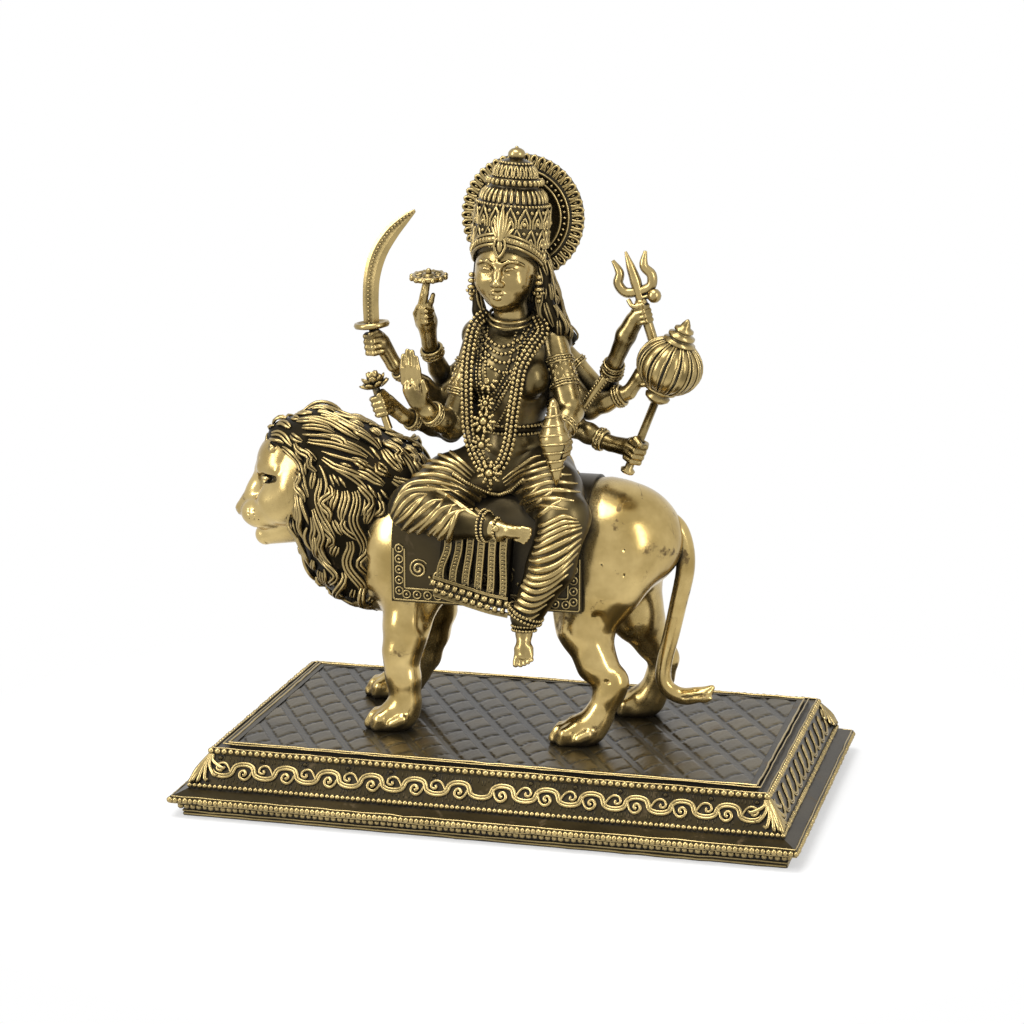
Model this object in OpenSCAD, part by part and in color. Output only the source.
// Cast brass statue: an eight-armed goddess riding a lion, on a stepped plinth.
// Frame: origin at the middle of the plinth's underside, +Z up, +X towards the lion's tail,
// -Y the way that the goddess faces. Millimetres.

/* [Plinth] */
// Length of the plinth over its widest ledge
plinth_len = 177; // [170:1:200]
// Depth of the plinth over its widest ledge
plinth_depth = 109; // [100:1:130]
// Height of the plinth
plinth_h = 19; // [17:0.5:24]
// Casting wall of the plinth
plinth_wall = 3; // [2:0.5:4]
// How far the top rim stands in from the widest ledge
rim_inset = 13.5; // [12:0.5:16]

/* [Lion] */
// Height of the lion's spine line above the plinth
spine_h = 54; // [52:1:58]
// Radius of the lion's ribs
rib_r = 18.2; // [17:0.1:18.2]
// Length of the body from chest to rump
trunk_len = 90; // [84:1:92]
// Radius of the tail
tail_r = 2.2; // [1.8:0.1:2.6]

/* [Saddle cloth] */
// Thickness of the saddle cloth
cloth_t = 1.2; // [1:0.1:2]
// Length of the saddle cloth along the lion
cloth_len = 55; // [50:1:58]
// How far the cloth hangs below the lion's spine line
cloth_drop = 15.5; // [10:0.5:18]

/* [Goddess] */
// Radius of the four rear arms at the shoulder
arm_r = 3.2; // [2.6:0.1:3.3]
// Radius of the two front arms at the shoulder
front_arm_r = 4; // [3.4:0.1:4.2]

/* [Crown and halo] */
// Height of the crown without its knob
crown_h = 25.3; // [22:0.1:28]
// Radius of the crown's band
crown_r = 10.6; // [10:0.1:11.5]
// Radius of the halo
halo_r = 17.8; // [16:0.2:20]
// Thickness of the halo
halo_t = 2; // [1.5:0.1:3]

/* [Attributes] */
// Radius of the mace's ball
mace_r = 9.3; // [8:0.1:10]
// Radius of the discus
discus_r = 4.7; // [4:0.1:6]
// Width of the sword's blade at the guard
blade_w = 4.4; // [3.5:0.1:5]
// Radius of the sword's guard
guard_r = 5.1; // [4:0.1:6]
// Radius of the grips that pass through the fists
grip_r = 1.2; // [1:0.1:1.4]

/* [Fasteners] */
// Shank radius of the screws under the paws
screw_r = 1.5; // [1.2:0.1:1.6]
// Radius of the seat stud
stud_r = 2.5; // [2:0.1:3]
// Radial clearance of brazed and screwed joints
fit = 0.1; // [0.05:0.01:0.15]
// Gap between two castings that lie on each other
seat_gap = 0.25; // [0.15:0.05:0.3]

/* [Hidden] */
brass = [0.72, 0.57, 0.27];
polished = [0.83, 0.68, 0.34];
dark_brass = [0.42, 0.35, 0.22];
steel = [0.55, 0.55, 0.56];
$fn = 48;
hull_fn = 24;
eps = 0.02;

plinth_top = plinth_h;
spine_z = plinth_top + spine_h;
trunk_mid = -3;

// The lion's head and the sitting figure are drawn at these heights, and follow the sizes above
drawn_spine = 19 + 54;
drawn_cloth = (18.2 + 0.25) + 1.2;
drawn_seat = drawn_spine + drawn_cloth + 0.25;

// ---------------------------------------------------------------- helpers

// Puts a child that stands on +Z at a, so that it points towards b
module aim(a, b) {
    d = b - a;
    translate(a) rotate([0, acos(d[2] / norm(d)), atan2(d[1], d[0])]) children();
}

// Lifts what is drawn round the lion's spine, and what sits on the saddle
module on_lion() {
    translate([0, 0, spine_z - drawn_spine]) children();
}

module seated() {
    translate([0, 0, seat_z - drawn_seat]) children();
}

// A tapered rod from a to b
module rod(a, b, r1, r2) {
    aim(a, b) cylinder(h = norm(b - a), r1 = r1, r2 = r2);
}

// A limb: tapered rods through the points, with a slightly larger ball at each inner joint
module limb(points, radii) {
    last = len(points) - 1;
    for (i = [0 : last - 1]) rod(points[i], points[i + 1], radii[i], radii[i + 1]);
    for (i = [1 : last]) translate(points[i]) sphere(radii[i] * 1.05);
}

// An egg-shaped mass
module egg(centre, radii) {
    translate(centre) scale(radii) sphere(1, $fn = hull_fn);
}

// Point on the cubic through p0 and p3 with control points p1 and p2
function bezier(p0, p1, p2, p3, t) =
    pow(1 - t, 3) * p0 + 3 * pow(1 - t, 2) * t * p1 + 3 * (1 - t) * pow(t, 2) * p2 + pow(t, 3) * p3;

// ---------------------------------------------------------------- plinth

foot_h = 4.4;
foot_inset = 3.2;
ledge_h = 1.8;
step_z = foot_h + ledge_h + 1.6;
step_inset = 4.3;
bead_h = 1.4;
band_top = plinth_h - 2.4;
band_inset = rim_inset - 4.2;
rim_w = 1.6;
panel_sink = 0.5;
top_t = 3;
boss_r = 5;

// Where each paw stands: near front, far front, near hind, far hind
paw_seat = [[-35, -16], [-45, 15], [19, -16.5], [31, 15.5]];

module slab(inset, z0, h) {
    translate([-plinth_len / 2 + inset, -plinth_depth / 2 + inset, z0])
        cube([plinth_len - 2 * inset, plinth_depth - 2 * inset, h]);
}

module plinth_outside() {
    slab(foot_inset, 0, foot_h + eps);
    slab(0, foot_h, ledge_h);
    hull() {
        slab(0.4, foot_h + ledge_h - eps, eps);
        slab(step_inset, step_z, eps);
    }
    slab(step_inset, step_z, bead_h);
    hull() {
        slab(step_inset + 0.6, step_z + bead_h - eps, eps);
        slab(band_inset, band_top, eps);
    }
    slab(band_inset - 0.3, band_top, bead_h);
    slab(rim_inset, band_top + bead_h - eps, plinth_h - band_top - bead_h + eps);
}

module plinth() {
    cavity_inset = rim_inset + plinth_wall;
    color(dark_brass) difference() {
        plinth_outside();
        difference() {
            slab(cavity_inset, -eps, plinth_h - top_t + eps);
            for (p = paw_seat)
                translate([p[0], p[1], plinth_h - top_t - 3]) cylinder(h = 4, r = boss_r);
        }
        slab(rim_inset + rim_w, plinth_h - panel_sink, 2);
        for (p = paw_seat)
            translate([p[0], p[1], -eps]) cylinder(h = plinth_h + 1, r = screw_r + fit);
    }
}

washer_t = 0.8;
washer_r = 3.4;
head_r = 2.7;
head_t = 1.8;
screw_grip = 3.5;
boss_face = plinth_h - top_t - 3;
floor_z = plinth_h - panel_sink;

module paw_screws() {
    color(steel) for (p = paw_seat) translate([p[0], p[1], boss_face - washer_t - head_t]) difference() {
        union() {
            cylinder(h = head_t, r = head_r);
            cylinder(h = floor_z + screw_grip - (boss_face - washer_t - head_t), r = screw_r);
        }
        translate([-0.4, -head_r - 1, -eps]) cube([0.8, 2 * head_r + 2, 0.8]);
    }
}

module paw_washers() {
    color(steel) for (p = paw_seat) translate([p[0], p[1], boss_face - washer_t]) difference() {
        cylinder(h = washer_t, r = washer_r);
        translate([0, 0, -1]) cylinder(h = 3, r = screw_r + fit);
    }
}

// ---------------------------------------------------------------- lion

// The trunk's radius along its length, as shares of the rib radius, from chest to rump
trunk_profile = [
    [0, 0.3], [0.06, 0.7], [0.16, 0.95], [0.3, 1], [0.62, 0.9], [0.84, 0.92], [0.94, 0.64], [1, 0.25]
];

module trunk(grow) {
    outline = [for (p = trunk_profile) [p[1] * rib_r + grow, p[0] * trunk_len]];
    translate([trunk_mid - trunk_len / 2, 0, spine_z]) rotate([0, 90, 0])
        rotate_extrude() polygon(concat([[0, -grow]], outline, [[0, trunk_len + grow]]));
}

// Legs: near front, far front, near hind, far hind. Heights are above the panel.
leg_points = [
    [[-29, -7, 44], [-31, -10.6, 34], [-32, -13.4, 24], [-31, -14.5, 13], [-31.5, -15, 8]],
    [[-28, 7, 44], [-29, 10.4, 34], [-30.5, 12, 21], [-34, 13.5, 12], [-40, 14.5, 7]],
    [[26, -9.2, 50], [22, -8.8, 37], [25.6, -13, 25], [28.5, -14, 18], [24, -15.5, 8]],
    [[27, 9.2, 50], [30, 9.4, 37], [35, 13, 24], [38, 14, 17], [34, 15, 8]]
];
leg_radii = [
    [8.6, 7, 5, 4.5, 4.6],
    [8.6, 7, 4.8, 4.2, 4.2],
    [8.8, 9, 6.8, 5.1, 4.5],
    [8.8, 8, 4.9, 4.6, 4.3]
];
paw_len = 5;
paw_r = 4.6;

module leg(i) {
    stretch = (spine_h - 8) / 46;
    points = [for (p = leg_points[i]) [p[0], p[1], floor_z + 8 + (p[2] - 8) * stretch]];
    radii = leg_radii[i];
    rod(points[0], points[1], radii[0], radii[1] * 0.9);
    translate(points[1]) sphere(radii[1] * 1.1);
    for (k = [1 : 3]) {
        rod(points[k], points[k + 1], radii[k] * 0.97, radii[k + 1] * 0.93);
        translate(points[k + 1]) sphere(radii[k + 1] * 1.08);
    }
    seat = paw_seat[i];
    // the paw: a flat-bottomed pad with four toes in front
    difference() {
        union() {
            translate([seat[0] + 4, seat[1], floor_z + 3])
                rod([0, 0, 0], [-4 - paw_len, 0, -0.4], paw_r, paw_r - 0.6);
            for (k = [-1.5 : 1 : 1.5])
                translate([seat[0] - paw_len - 0.8 + abs(k) * 0.5, seat[1] + k * 2.5, floor_z + 2.2])
                    sphere(2.2);
        }
        translate([seat[0] - 30, seat[1] - 30, floor_z - 20]) cube([60, 60, 20]);
    }
}

neck_r = 9;
neck_z = spine_z + 6;
neck_depth = 6;
neck_x = trunk_mid - trunk_len / 2 + 14;
tail_root = [trunk_mid + trunk_len / 2 - 5, 1.5, spine_z + 7.5];
tail_out = [trunk_mid + trunk_len / 2 + 2.6, 2.5, spine_z + 4.6];
stud_x = -2;
stud_y = 2;

module lion_body() {
    color(polished) difference() {
        union() {
            trunk(0);
            for (i = [0 : 3]) leg(i);
        }
        // screw holes up into the paws
        for (p = paw_seat)
            translate([p[0], p[1], floor_z - 1]) cylinder(h = screw_grip + 1.5, r = screw_r + fit);
        // socket for the head and mane casting
        translate([neck_x - 40, 0, neck_z]) rotate([0, 90, 0])
            cylinder(h = 40 + neck_depth, r = neck_r + fit);
        // socket for the tail
        aim(tail_root + [-0.3, 0, 0.1], tail_out) cylinder(h = 20, r = tail_r * 1.12 + fit);
        // hole for the seat stud, with a pocket for its nut under the belly
        translate([stud_x, stud_y, spine_z - 30]) cylinder(h = 60, r = stud_r + fit);
        translate([stud_x, stud_y, spine_z - 30]) cylinder(h = 30 - nut_seat, r = nut_pocket);
    }
}

nut_seat = 12.5;
nut_pocket = 5.2;
nut_af = 8;
nut_t = 2.6;

// The mane and face. The face is bare and smooth, and the mane wraps the neck and chest.
module mane_mass() {
    hull() {
        egg([-60, 0, 94], [15, 14, 13]);
        egg([-52, 0, 80], [19, 19, 20]);
    }
    hull() {
        egg([-54, 0, 78], [19, 18.5, 18]);
        egg([-49, 0, 62], [13, 12.5, 13]);
    }
    hull() {
        egg([-58, 0, 92], [14, 13, 13]);
        egg([-40, 0, 87], [10, 13, 11]);
    }
}

module face_mass() {
    hull() {
        egg([-68, 0, 90], [9.5, 10.5, 12]);
        egg([-76, 0, 80], [6, 6.5, 7]);
    }
    hull() {
        egg([-80, 0, 76], [5.8, 4.8, 4.6]);
        egg([-74, 0, 72], [5.5, 5.5, 5.5]);
    }
}

module lion_head() {
    color(brass) {
        difference() {
            union() {
                on_lion() mane_mass();
                on_lion() face_mass();
            }
            // laid on the front of the trunk, and clear of the saddle cloth
            trunk(seat_gap);
            translate([cloth_x - cloth_len / 2 - 0.5, 0, spine_z]) rotate([90, 0, 90]) linear_extrude(60)
                saddle_outline(cloth_out + seat_gap, 40);
        }
        translate([neck_x - 20, 0, neck_z]) rotate([0, 90, 0])
            cylinder(h = 20 + neck_depth - 0.2, r = neck_r);
    }
}

tail_path = [
    [45.8, 3, 54], [46.2, 3, 46.8], [44.1, 3, 37], [42.4, 3, 27.8], [40.6, 3, 20],
    [40.3, 3, 14.6], [42.6, 3, 11], [47.6, 3, 9.6], [52.4, 3, 11.8]
];

module lion_tail() {
    stretch = (spine_h - 9) / 45;
    hung = [for (p = tail_path) [p[0], p[1], plinth_top + 9 + (p[2] - 9) * stretch]];
    points = concat([tail_root, tail_out], hung);
    radii = concat([tail_r, tail_r], [for (i = [0 : 8]) tail_r * (1.04 - 0.03 * i)]);
    color(polished) limb(points, radii);
}

// ---------------------------------------------------------------- saddle

cloth_in = rib_r + seat_gap;
cloth_out = cloth_in + cloth_t;
cloth_x = -6;

// Profile of the saddle in the YZ plane: a half ring with two hanging sides
module saddle_outline(r, drop) {
    circle(r);
    translate([-r, -drop]) square([2 * r, drop]);
}

module saddle_cloth() {
    color(dark_brass) difference() {
        translate([cloth_x - cloth_len / 2, 0, spine_z]) rotate([90, 0, 90]) linear_extrude(cloth_len)
            difference() {
                saddle_outline(cloth_out, cloth_drop);
                saddle_outline(cloth_in, cloth_drop + 1);
                translate([-50, -cloth_drop - 50]) square([100, 50]);
            }
        translate([stud_x, stud_y, spine_z]) cylinder(h = 60, r = stud_r + fit);
    }
}

stud_top = spine_z + cloth_out + 7;
stud_bottom = spine_z - nut_seat - nut_t - 1;

module seat_stud() {
    color(steel) translate([stud_x, stud_y, stud_bottom]) cylinder(h = stud_top - stud_bottom, r = stud_r);
}

module seat_nut() {
    color(steel) translate([stud_x, stud_y, spine_z - nut_seat - nut_t]) difference() {
        cylinder(h = nut_t, r = nut_af / sqrt(3), $fn = 6);
        translate([0, 0, -1]) cylinder(h = nut_t + 2, r = stud_r + fit);
    }
}

// ---------------------------------------------------------------- goddess, seated body

seat_z = spine_z + cloth_out + seat_gap;
spread = [0, drawn_cloth - cloth_out, 0];
knee_l = [-26.5, -23, 85.5] + spread;
knee_r = [17.5, -24, 85.5] + spread;
ankle_folded = [-3, -29.5, 83.2] + spread;
ankle_hung = [6.5, -26.5, 56.5] + spread;
hip_r = 12;
waist_p = [-2, -2.5, 100];
waist_r = 8;

module legs_mass() {
    translate([-2.5, 1, 94]) sphere(hip_r);
    rod([-9, -2, 93.6], knee_l, 10, 7.2);
    translate(knee_l) sphere(7.6);
    rod(knee_l, ankle_folded, 6.9, 4.3);
    rod([4.5, -2.5, 93.6], knee_r, 9.9, 7.4);
    translate(knee_r) sphere(7.8);
    rod(knee_r, ankle_hung, 7.2, 4.6);
    rod([-14, 3, 92], [9, 3, 92], 8.5, 8.3);
}

module skirt() {
    color(brass) difference() {
        seated() legs_mass();
        // sits astride the saddle cloth
        translate([cloth_x - 60, 0, spine_z]) rotate([90, 0, 90]) linear_extrude(120)
            saddle_outline(cloth_out + seat_gap, 40);
        // socket for the waist, and the blind hole for the stud
        seated() translate(waist_p) cylinder(h = 30, r = waist_r + fit);
        translate([stud_x, stud_y, spine_z]) cylinder(h = stud_top + 0.4 - spine_z, r = stud_r + fit);
        // sockets for the two feet
        seated() {
            rod(foot_hung, foot_hung + peg_hung, foot_peg + fit, foot_peg + fit);
            rod(foot_folded, foot_folded + peg_folded, foot_peg + fit, foot_peg + fit);
        }
    }
}

foot_peg = 2;
foot_hung = [6.9, -26.7, 51.6] + spread;
peg_hung = [0, 0, 8.6];
foot_folded = [0.6, -30.4, 82.8] + spread;
peg_folded = [-8, 2.2, 1];

module foot(ankle, back, ball, toe, r) {
    rod(ankle + back * 0.96, ankle, foot_peg, foot_peg);
    rod(ankle, ball, r, r * 0.86);
    aim(ankle, ball) sphere(r * 1.06);
    aim(ball, toe) sphere(r * 0.94);
    rod(ball, toe, r * 0.8, r * 0.55);
    aim(toe, toe * 2 - ball) sphere(r * 0.62);
}

module hanging_foot() {
    color(brass) seated()
        foot(foot_hung, peg_hung, [7.1, -28.2, 47.6] + spread, [7.4, -29.6, 45.2] + spread, 3.2);
}

module folded_foot() {
    color(brass) seated()
        foot(foot_folded, peg_folded, [5, -30.9, 82.2] + spread, [7.8, -31.2, 81.6] + spread, 2.7);
}

module anklets() {
    color(polished) seated() {
        translate(foot_hung + [0, 0, 2]) rotate_extrude() translate([3.9, 0]) circle(0.8);
    }
}

pleat_top = 78.4;

module pleats() {
    color(brass) seated() translate([0, -23.2 + spread[1], 0]) intersection() {
        rotate([90, 0, 0]) linear_extrude(5)
            polygon([[-19, pleat_top], [3, pleat_top], [1, 58.4], [-0.6, 57.6], [-6, 59.4], [-18.4, 62.6]]);
        translate([0, 0, 50]) linear_extrude(40) union() {
            translate([-20, -1.6]) square([24, 1.6]);
            for (k = [0 : 5]) translate([-17.4 + k * 3.9, -1.7]) circle(1.9);
        }
    }
}

// ---------------------------------------------------------------- goddess, torso and head

neck_a = [-2.2, -2, 131];
neck_b = [-3.2, -4.2, 146];

module torso_mass() {
    translate(waist_p) cylinder(h = 7.6, r = waist_r);
    rod([-2, -2.4, 106], [-2, -2, 124], 7.1, 11.4);
    translate([-2, -2, 124.5]) sphere(12);
    for (x = [-7.2, 4]) translate([x, -9.2, 121.5]) sphere(5.6);
    rod([-12.2, -0.5, 131.6], [8.6, -0.5, 131.6], 5, 5.1);
    translate([-12.4, -0.5, 131.2]) rotate([90, 0, 0]) sphere(5.5);
    translate([8.8, -0.5, 131.2]) rotate([0, 90, 0]) sphere(5.6);
    rod([-9, 7, 127], [5, 7, 127], 6.6, 6.4);
    rod([-2.2, -2, 133], [-2.5, -2.6, 138], 5.6, 4.8);
}

// Root and elbow of each arm, from the right hand side of the goddess to her left
arm_joints = [
    [[-9, 5, 127], [-25.8, 5.2, 111]],
    [[-8, 11, 131], [-26.4, 11, 114.4]],
    [[-12.4, -2.5, 131], [-18.6, -9, 106.4]],
    [[-8, 0, 122.5], [-21.9, 1.6, 102.8]],
    [[3, 11, 131], [20.5, 11.5, 113]],
    [[4, 5, 127], [17.8, 4.6, 110.6]],
    [[4, 0, 122.5], [14.8, -0.6, 106.4]],
    [[9, -2.5, 131], [15.8, -9.4, 112.6]]
];
arm_scale = [1, 1, front_arm_r / arm_r, 1.02, 1, 1, 1.02, front_arm_r / arm_r];

module arm_bore(i) {
    a = arm_joints[i][0];
    b = arm_joints[i][1];
    r = arm_r * arm_scale[i] * 0.84 + fit;
    rod(a, b, r, r);
}

module torso() {
    color(brass) seated() difference() {
        torso_mass();
        rod(neck_a, neck_b, neck_r2 + fit, neck_r2 + fit);
        for (i = [0 : 7]) arm_bore(i);
    }
}

neck_r2 = 3.8;

// One arm: a peg in the torso, upper arm, forearm and closed or open hand
module arm(i, wrist, palm, tips, grip_a, grip_b) {
    a = arm_joints[i][0];
    elbow = arm_joints[i][1];
    r = arm_r * arm_scale[i];
    color(brass) seated() difference() {
        union() {
            rod(a, elbow, r * 0.84, r * 0.84);
            translate(elbow) sphere(r * 0.97);
            rod(elbow, wrist, r * 0.9, r * 0.66);
            aim(wrist, palm) sphere(r * 0.74);
            rod(wrist, palm, r * 0.66, hand_r);
            translate(palm) sphere(hand_r * 1.06);
            for (t = tips) rod(palm, t, 1.5, 1.1);
            for (t = tips) translate(t) sphere(1.25);
        }
        if (norm(grip_b - grip_a) > 0) rod(grip_a, grip_b, grip_r + 0.08, grip_r + 0.08);
    }
}

hand_r = 3.5;
none = [0, 0, 0];
wrists = [
    [-36, -7, 123], [-28.6, 3.6, 127.4], [-23.4, -17.4, 112.4], [-31.4, -12.2, 109.2],
    [25.2, 4, 124.6], [29.4, 3.4, 116.2], [25.8, -3.6, 102.8], [14.8, -15.4, 108.4]
];

sword_foot = [-40.2, -10, 122.8];
sword_guard = [-41.5, -10, 134.6];
lotus_foot = [-34.8, -17.6, 108];
lotus_neck = [-38.6, -17.6, 119.4];
discus_at = [-28, 1, 147];
trident_foot = [37.7, 2, 127.6];
trident_neck = [32.7, 2, 143.2];
mace_foot = [31.2, -6, 95.6];
mace_dir = [10.1, -2, 25.6];

module sword_arm() {
    arm(0, wrists[0], [-40.4, -10, 128.6], [], sword_foot, sword_guard);
}

module discus_arm() {
    arm(1, wrists[1], [-29.2, 1.6, 137.2], [[-28.1, 1.05, 144.75]], none, none);
}

// Outline of the open hand, palm towards the viewer: wrist, fingers, thumb
open_hand = [
    [-2.4, -4.6], [2.4, -4.6], [4.4, -1], [4.5, 3.2], [3.7, 3.5], [3, 0.8], [2.9, 6.4], [1.3, 8.8],
    [-0.6, 8.9], [-2.6, 7], [-3.7, 3], [-3.8, -1.6]
];

module blessing_arm() {
    palm = [-26.6, -19.2, 118.6];
    color(brass) {
        arm(2, wrists[2], palm - [0.4, 0.4, 2.6], [], none, none);
        seated() translate(palm) rotate([84, 0, 4]) linear_extrude(2.8, center = true) polygon(open_hand);
    }
}

module lotus_arm() {
    arm(3, wrists[3], [-36.7, -17.6, 114], [], lotus_foot, lotus_neck);
}

module trident_arm() {
    arm(4, wrists[4], [30.4, 2, 136.8], [[33.5, 2, 138.2]], trident_foot, trident_neck);
}

module scarf_arm() {
    arm(5, wrists[5], [34.6, 3.4, 120.6], [[34.4, 3.4, 126]], none, none);
}

module mace_arm() {
    arm(6, wrists[6], [33.2, -6.2, 101.6], [], mace_foot - mace_dir * 0.1, mace_foot + mace_dir);
}

module conch_arm() {
    difference() {
        arm(7, wrists[7], [14.2, -18.4, 105.2], [], none, none);
        seated() conch_mass(seat_gap);
    }
}

module ring_on(centre, towards, big, thick) {
    aim(centre, centre + towards) rotate_extrude() translate([big, 0]) circle(thick);
}

module head() {
    color(brass) seated() difference() {
        union() {
            translate([-3.2, -3.4, 151.8]) sphere(8.4);
            translate([-4, -6.8, 146.6]) sphere(5.3);
            translate([-3.8, -6, 150]) sphere(7.2);
            rod(neck_a, neck_b, neck_r2, neck_r2);
        }
    }
}

crown_base = [-3.3, -3.4, 155.4];
crown_lean = [1.9, 0.8, 28.1];
crown_tip = crown_base + crown_lean / norm(crown_lean) * (crown_h + 2.9);

module crown() {
    h = norm(crown_tip - crown_base);
    k = crown_h / 25.2;
    color(polished) seated() difference() {
        aim(crown_base, crown_tip) {
            rotate_extrude() polygon([
                [0, 0], [crown_r, 0], [crown_r, 3.6 * k], [crown_r - 0.9, 4.4 * k], [crown_r - 1.6, 7 * k],
                [crown_r - 1.2, 12 * k], [crown_r - 2.2, 16.6 * k], [crown_r - 1.4, 17.6 * k],
                [crown_r - 1.8, 19.6 * k], [crown_r - 3.6, 20.6 * k], [crown_r - 3.4, 22.4 * k],
                [crown_r - 5.8, 23.4 * k], [crown_r - 5.8, 24.6 * k], [1.6, 25.2 * k], [0, 25.2 * k]
            ]);
            translate([0, 0, h - 2.4]) sphere(2.6);
        }
        translate([-3.2, -3.4, 151.8]) sphere(8.4 + seat_gap);
        rod([halo_c[0], 2, halo_c[2]], [halo_c[0], 20, halo_c[2]], screw_r + fit, screw_r + fit);
        translate([-40, halo_c[1] - halo_t / 2 - seat_gap, 100]) cube([80, 30, 100]);
    }
}

halo_c = [-2.3, 8, 164];

module halo() {
    color(brass) seated() difference() {
        union() {
            translate(halo_c) rotate([90, 0, 0]) cylinder(h = halo_t, r = halo_r - 0.8, center = true);
            translate(halo_c) rotate([90, 0, 0]) rotate_extrude() translate([halo_r - 1.2, 0]) circle(1.2);
            translate(halo_c) rotate([90, 0, 0]) rotate_extrude() translate([halo_r - 6.2, 0]) circle(1.25);
        }
        translate(halo_c) rotate([90, 0, 0]) cylinder(h = 20, r = screw_r + fit, center = true);
    }
}

module halo_screw() {
    color(steel) seated() translate([halo_c[0], halo_c[1] + halo_t / 2, halo_c[2]]) rotate([90, 0, 0]) {
        translate([0, 0, -1.5]) cylinder(h = 1.5, r = head_r);
        translate([0, 0, -eps]) cylinder(h = 6, r = screw_r);
    }
}

module earrings() {
    color(polished) seated() for (s = [-1, 1]) translate([-3.2 + s * 9.5, -4.6, 148]) {
        sphere(1.9);
        rotate([0, 90, 0]) cylinder(h = 1.1, r = 2.6, center = true);
        translate([0, 0, -3.2]) sphere(1.3);
        translate([0, 0, -3.2]) cylinder(h = 3, r = 0.6);
    }
}

module veil() {
    color(dark_brass) seated() difference() {
        union() {
            translate([-2.4, 1.6, 149]) sphere(9.2);
            rod([-1, 5, 149], [5, 8.5, 133], 7.6, 5.8);
            rod([5, 8.5, 133], [6, 12, 112], 5.8, 3.6);
            translate([5, 8.5, 133]) sphere(6.1);
            translate([6, 12, 112]) sphere(3.8);
        }
        translate([-3.2, -3.4, 151.8]) sphere(8.4 + seat_gap);
        translate([-60, -70.2, 100]) cube([120, 70, 100]);
        aim(crown_base, crown_tip) translate([0, 0, -0.25]) cylinder(h = 30, r = crown_r + 0.3);
        translate([-40, halo_c[1] - halo_t / 2 - 1.3, 100 + 45]) cube([80, 4.4, 60]);
        rod([-12.2, -0.5, 131.6], [8.6, -0.5, 131.6], 5.35, 5.45);
        translate([8.8, -0.5, 131.2]) sphere(5.9);
        rod([-9, 7, 127], [15, 7, 127], 6.9, 6.6);
        rod([-2.2, -2, 133], [-2.5, -2.6, 138], 5.9, 5.1);
        rod(neck_a, neck_b, neck_r2 + 0.3, neck_r2 + 0.3);
        translate([-4, -6.8, 146.6]) sphere(5.6);
        translate([-3.8, -6, 150]) sphere(7.5);
        for (i = [4, 5]) rod(arm_joints[i][0], arm_joints[i][1], 3.1, 3.1);
        translate([-2.4, -2.4, 134]) cylinder(h = 8.6, r = 8.5);
        translate([-2, -2, 124.5]) sphere(12.3);
        rod([-2, -2.5, 107], [-2, -2, 124], 8.1, 11.7);
    }
}

// ---------------------------------------------------------------- ornaments

module collar_necklace() {
    color(polished) seated() translate([-2.4, -2.6, 138.2]) rotate([16, 0, 0]) rotate_extrude()
        translate([6.5, 0]) circle(1.3);
}

garland_r = 1.3;

module garland_side(s) {
    top = [-2.2 + s * 10, -4.6, 137];
    path = [for (k = [0 : 8]) bezier(top, [-2.2 + s * 10.6, -22, 130], [-2.4 + s * 9.4, -17.4, 104],
        [-4, -21.4, 92.6], k / 8)];
    for (k = [0 : 7]) rod(path[k], path[k + 1], garland_r, garland_r);
    for (k = [1 : 7]) translate(path[k]) sphere(garland_r * 1.25);
    translate(path[0]) sphere(garland_r * 1.2);
}

module long_garland() {
    color(polished) seated() {
        garland_side(-1);
        garland_side(1);
        translate([-4, -21.4, 92.6]) sphere(2.2);
    }
}

module waist_belt() {
    color(polished) seated() translate([waist_p[0], waist_p[1], waist_p[2] + 5.2]) difference() {
        union() {
            cylinder(h = 2.6, r = waist_r + 1.5);
            translate([0, 0, 1.3]) rotate_extrude() translate([waist_r + 1.4, 0]) circle(0.9);
        }
        translate([0, 0, -1]) cylinder(h = 6, r = waist_r + fit);
    }
}

module wrist_bangles() {
    color(polished) seated() for (i = [0 : 7]) {
        r = arm_r * arm_scale[i] * 0.76;
        along = wrists[i] - arm_joints[i][1];
        u = along / norm(along);
        aim(wrists[i] - bangle_back[i] * u, wrists[i]) difference() {
            union() {
                cylinder(h = 2.6, r = r + 1.1);
                translate([0, 0, 1.3]) rotate_extrude() translate([r + 0.8, 0]) circle(0.8);
            }
            translate([0, 0, -1]) cylinder(h = 6, r = r + 0.2);
        }
    }
}

bangle_back = [4.4, 4.2, 4.4, 4.4, 4.2, 4.4, 4.4, 2.4];

module armlets() {
    color(polished) seated() for (i = [2, 7]) {
        a = arm_joints[i][0];
        b = arm_joints[i][1];
        m = a + (b - a) * 0.62;
        r = arm_r * arm_scale[i] * 0.84;
        aim(m, b) difference() {
            cylinder(h = 2.4, r = r + 1);
            translate([0, 0, -1]) cylinder(h = 6, r = r + 0.15);
        }
    }
}

// ---------------------------------------------------------------- attributes

module sword() {
    back = [[-43.7, 136], [-43.9, 148], [-39.6, 161.4], [-28.6, 167.2]];
    edge = [[-29.4, 165.6], [-35.4, 159.4], [-39, 150], [-43.7 + blade_w, 136]];
    outer = [for (k = [0 : 10]) bezier(back[0], back[1], back[2], back[3], k / 10)];
    inner = [for (k = [0 : 10]) bezier(edge[0], edge[1], edge[2], edge[3], k / 10)];
    color(polished) seated() {
        rod(sword_foot, [-41.7, -10, 137], grip_r, grip_r);
        translate(sword_foot) sphere(1.4);
        aim(sword_guard, sword_guard + [-0.2, 0, 1]) {
            cylinder(h = 1.5, r = guard_r - 0.5);
            translate([0, 0, 0.75]) rotate_extrude() translate([guard_r - 0.8, 0]) circle(0.8);
        }
        translate([0, -9.1, 0]) rotate([90, 0, 0]) linear_extrude(1.8) polygon(concat(outer, inner));
    }
}

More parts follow.
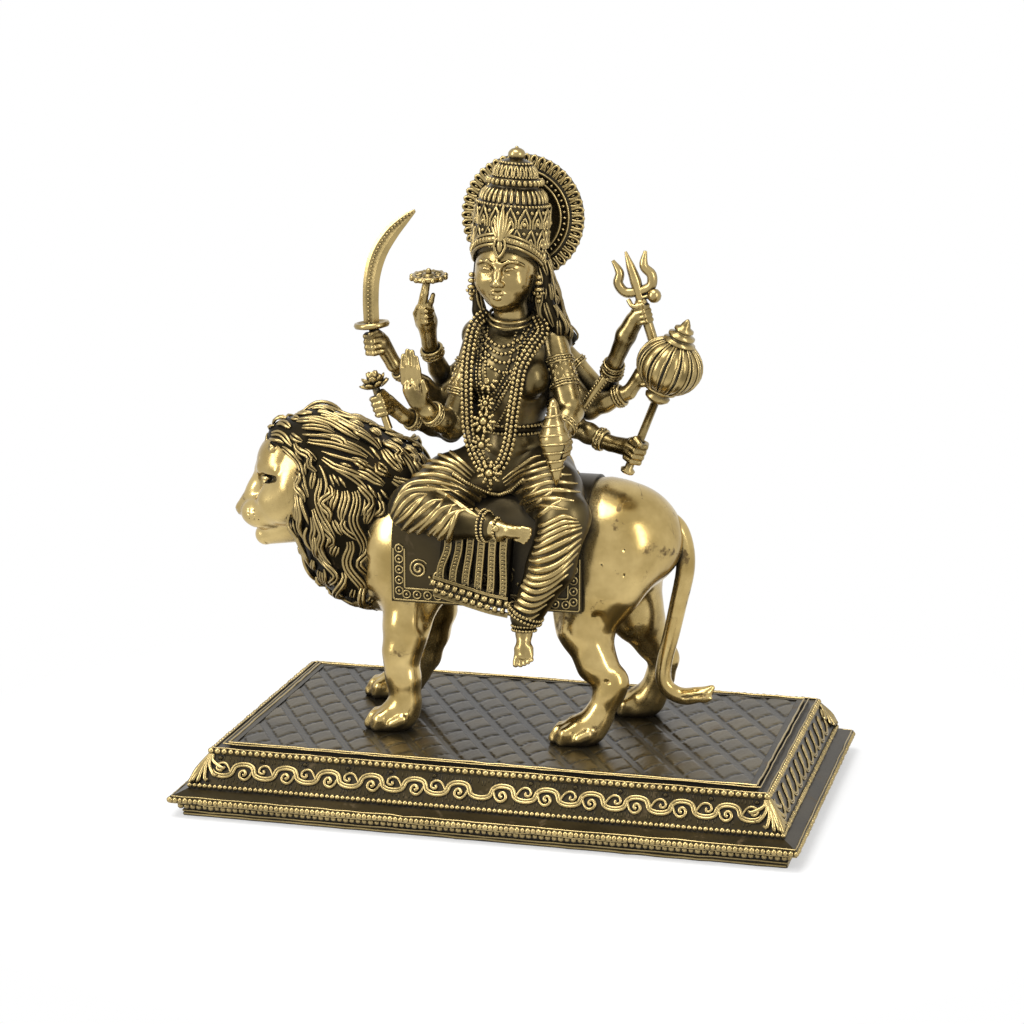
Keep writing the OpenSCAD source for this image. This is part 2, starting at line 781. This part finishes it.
module discus() {
    color(polished) seated() translate(discus_at) rotate([8, 0, 0]) {
        union() {
            translate([0, 0, -0.8]) cylinder(h = 1.6, r = discus_r - 0.6);
            for (k = [0 : 7]) rotate(k * 45) translate([discus_r - 0.7, 0, 0]) sphere(1.05);
            translate([0, 0, 0.7]) cylinder(h = 0.8, r1 = 2, r2 = 1.4);
            translate([0, 0, 2.2]) sphere(1.2);
            translate([0, 0, 1]) cylinder(h = 1, r = 0.8);
        }
    }
}

module lotus() {
    color(polished) seated() {
        rod(lotus_foot, lotus_neck + [-0.3, 0, 1], grip_r, grip_r);
        translate(lotus_foot) sphere(1.6);
        aim(lotus_neck, lotus_neck + [-1, 0, 3]) {
            cylinder(h = 3.2, r1 = 1.8, r2 = 4);
            for (k = [0 : 7]) rotate(k * 45) translate([3.7, 0, 3.2]) sphere(1.7);
            translate([0, 0, 3.4]) sphere(2.6);
        }
    }
}

module prong(points, r) {
    limb(points, [for (i = [0 : len(points) - 1]) r - 0.12 * i]);
}

module trident() {
    y = trident_foot[1];
    color(polished) seated() {
        rod(trident_foot, [32.2, y, 144.8], grip_r, grip_r);
        translate(trident_foot) sphere(1.5);
        aim(trident_neck, [32.1, y, 145]) cylinder(h = 2, r = 1.9);
        prong([[32.2, y, 144.8], [30.1, y, 150.2], [28.4, y, 155.3]], 1.15);
        prong([[32.2, y, 144.8], [28.1, y, 145.4], [26.7, y, 149], [25, y, 152.7]], 1.25);
        prong([[32.2, y, 144.8], [35.3, y, 147.4], [33.7, y, 151.4], [33.9, y, 155.8]], 1.25);
        rod(trident_neck, [36.6, 0.6, 143.8], 0.9, 0.9);
        translate([36.6, 0.6, 143.8]) sphere(1.9);
    }
}

module mace() {
    n = norm(mace_dir);
    c = norm([44, -8, 127.3] - mace_foot);
    color(polished) seated() aim(mace_foot, mace_foot + mace_dir) {
        cylinder(h = c, r = grip_r);
        sphere(2.4);
        translate([0, 0, c - mace_r - 2.6]) cylinder(h = 2.8, r1 = 1.8, r2 = 3);
        translate([0, 0, c - mace_r + 0.1]) cylinder(h = 1, r = 5.4);
        translate([0, 0, c]) sphere(mace_r);
        translate([0, 0, c + mace_r - 1.6]) cylinder(h = 1, r = 5);
        translate([0, 0, c + mace_r - 0.7]) cylinder(h = 2.6, r1 = 2.8, r2 = 1.5);
        translate([0, 0, c + mace_r + 1.7]) cylinder(h = 2.4, r1 = 1.6, r2 = 0.7);
    }
}

module conch_mass(grow) {
    rod([12.3, -24, 94.4], [14.6, -22.6, 105.6], 0.8 + grow, 4 + grow);
    translate([14.7, -22.6, 106]) sphere(4.15 + grow);
    rod([14.6, -22.6, 106.8], [13.8, -21.8, 113.6], 3.6 + grow, 2 + grow);
    rod([14, -21.8, 112.4], [13.2, -21.4, 117.8], 2.3 + grow, 1.3 + grow);
}

module conch() {
    color(polished) seated() conch_mass(0);
}

module scarf_end() {
    color(polished) seated() limb([[16.6, -1.4, 111.2], [19.4, -1, 115.2], [21.8, 0.2, 118.6], [23, 0.8, 120.4]],
        [0.9, 1, 1.1, 0.9]);
}

plinth();
paw_screws();
paw_washers();
lion_body();
lion_head();
lion_tail();
saddle_cloth();
seat_stud();
seat_nut();
skirt();
pleats();
hanging_foot();
folded_foot();
anklets();
torso();
veil();
head();
crown();
halo();
halo_screw();
earrings();
collar_necklace();
long_garland();
waist_belt();
sword_arm();
discus_arm();
blessing_arm();
lotus_arm();
trident_arm();
scarf_arm();
mace_arm();
conch_arm();
wrist_bangles();
armlets();
sword();
discus();
lotus();
trident();
mace();
conch();
scarf_end();
